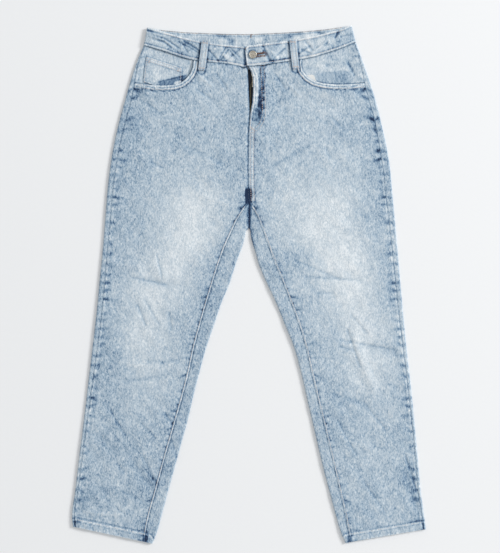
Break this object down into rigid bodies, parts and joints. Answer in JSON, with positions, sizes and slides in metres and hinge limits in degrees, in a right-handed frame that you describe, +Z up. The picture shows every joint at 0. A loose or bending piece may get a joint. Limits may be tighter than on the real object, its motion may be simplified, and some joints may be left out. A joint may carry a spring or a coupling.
{
  "type": "jeans",
  "caption": "High-rise ankle-length denim jeans, buttoned and laid flat, with scooped front pockets, a coin pocket, belt loops, a zip fly and patch back pockets.",
  "frame": {"origin": "middle of the outline on the ground, bottom centre of the bounding box", "axes": "+Z up from the ground the jeans lie on, +Y towards the waist, +X towards the wearer's left"},
  "size_m": [0.6796, 0.9942, 0.0122],
  "materials": {
    "denim": "light blue acid-washed cotton denim, dry and matt, worn white along its edges",
    "pocket_cotton": "plain off-white cotton",
    "zip_tape": "dark woven tape",
    "metal": "aged silvery brass, brushed",
    "thread": "pale beige topstitching thread, brown round the buttonhole"
  },
  "bodies": {
    "root": {"front_right": "denim", "front_left": "denim", "back_right": "denim", "back_left": "denim", "yoke_right": "denim", "yoke_left": "denim", "waistband": "denim", "pocket_facing_right": "denim", "pocket_facing_left": "denim", "coin_pocket": "denim", "pocket_bag_left": "pocket_cotton", "back_pocket_right": "denim", "back_pocket_left": "denim", "belt_loop_front_right": "denim", "belt_loop_front_left": "denim", "belt_loop_back_right": "denim", "belt_loop_back_centre": "denim", "belt_loop_back_left": "denim", "zip_tape": "zip_tape", "zip_slider": "metal", "button": "metal"}
  },
  "joints": []
}
